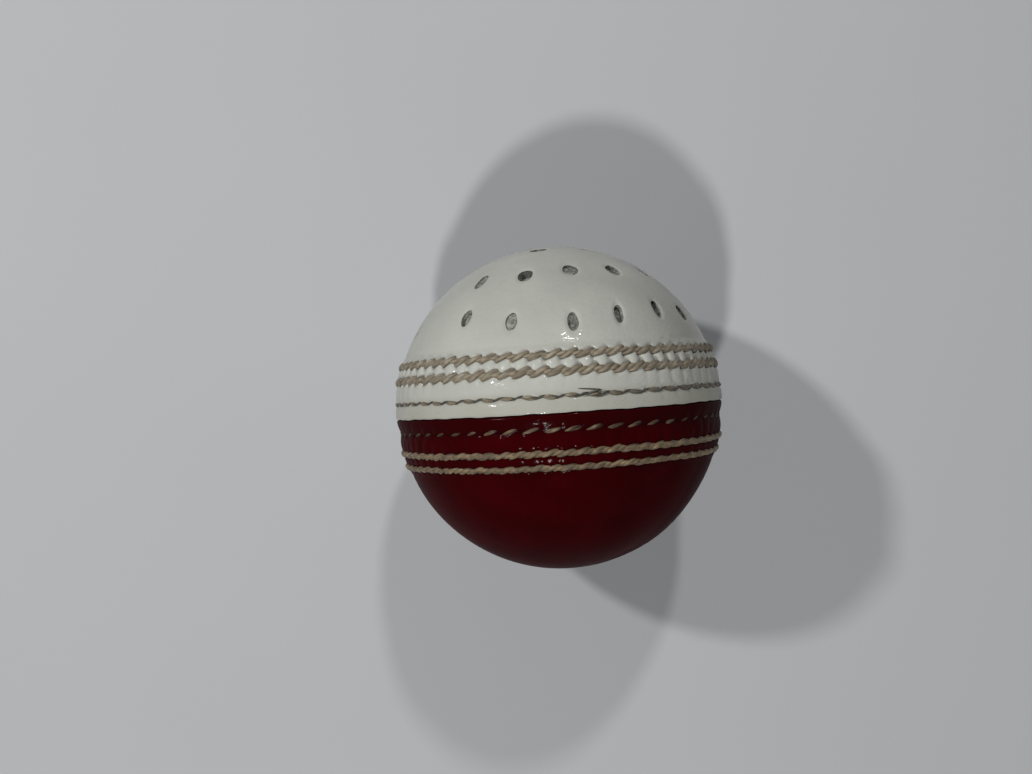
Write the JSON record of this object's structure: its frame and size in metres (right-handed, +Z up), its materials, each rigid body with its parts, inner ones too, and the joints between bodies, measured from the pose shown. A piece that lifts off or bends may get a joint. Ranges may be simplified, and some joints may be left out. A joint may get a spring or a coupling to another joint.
{
  "type": "cricket ball",
  "caption": "Two-tone leather cricket ball with a raised stitched seam, one white half with punched holes, one smooth red half, over a wound cork and wool core.",
  "frame": {"origin": "centre of the ball, which is the centre of its box", "axes": "+Y runs along the ball's axis through the middle of the white half, +Z points up towards the picture's camera along the seam plane, +X is the picture's right"},
  "size_m": [0.073, 0.0718, 0.073],
  "materials": {
    "cork_rubber": "ground cork bound with rubber, matt",
    "wool_yarn": "worsted wool wound wet and tight",
    "cork": "sheet cork pressed to a cup",
    "grey_felt": "thin grey felt",
    "white_leather": "white lacquered leather, satin gloss",
    "red_leather": "dyed and polished leather, gloss",
    "tan_thread": "waxed linen thread",
    "pale_thread": "waxed linen thread"
  },
  "bodies": {
    "root": {"cork_rubber_nucleus": "cork_rubber", "inner_yarn_winding": "wool_yarn", "white_side_cork_cup": "cork", "red_side_cork_cup": "cork", "outer_yarn_winding": "wool_yarn", "white_lining": "grey_felt", "red_lining": "grey_felt", "white_leather_half": "white_leather", "red_leather_half": "red_leather", "white_edge_thread": "tan_thread", "white_middle_thread": "tan_thread", "white_closing_thread": "tan_thread", "red_closing_thread": "pale_thread", "red_middle_thread": "pale_thread", "red_edge_thread": "pale_thread"}
  },
  "joints": []
}
